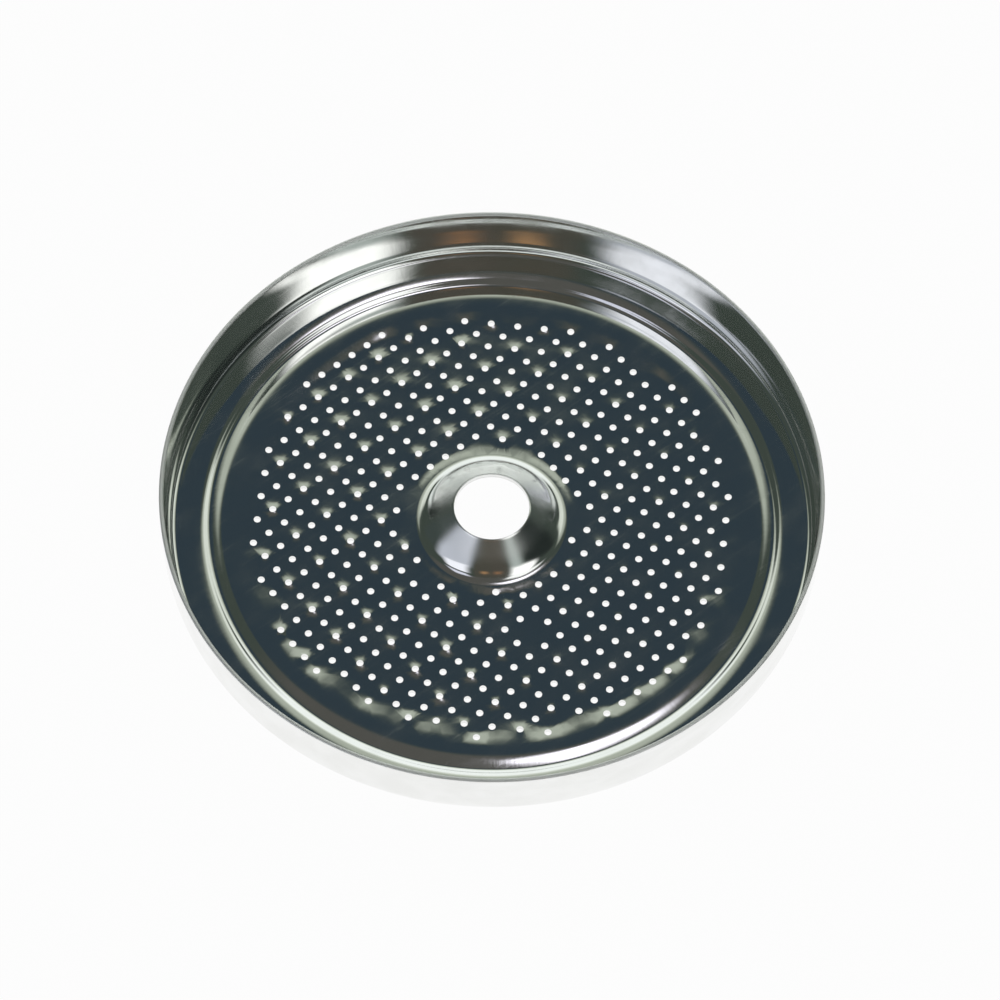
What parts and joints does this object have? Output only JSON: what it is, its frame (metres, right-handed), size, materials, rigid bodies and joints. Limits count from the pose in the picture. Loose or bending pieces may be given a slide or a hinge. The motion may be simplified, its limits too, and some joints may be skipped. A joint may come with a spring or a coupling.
{
  "type": "espresso shower screen",
  "caption": "Round stainless shower screen for an espresso machine: a shallow pressed cup with a finely perforated floor, a stepped rim and a raised countersunk cone for its fixing screw.",
  "frame": {"origin": "middle of the floor's underside, where the screen lies on a table", "axes": "+Z along the screen's axis towards its open side, which faces the brewing group; X and Y along the rows of the punched grid"},
  "size_m": [0.057, 0.057, 0.0061],
  "materials": {
    "polished_steel": "mirror polished sheet with fine radial draw marks, faint rolling streaks and small scratches"
  },
  "bodies": {
    "root": {"shower_screen": "polished_steel"}
  },
  "joints": []
}
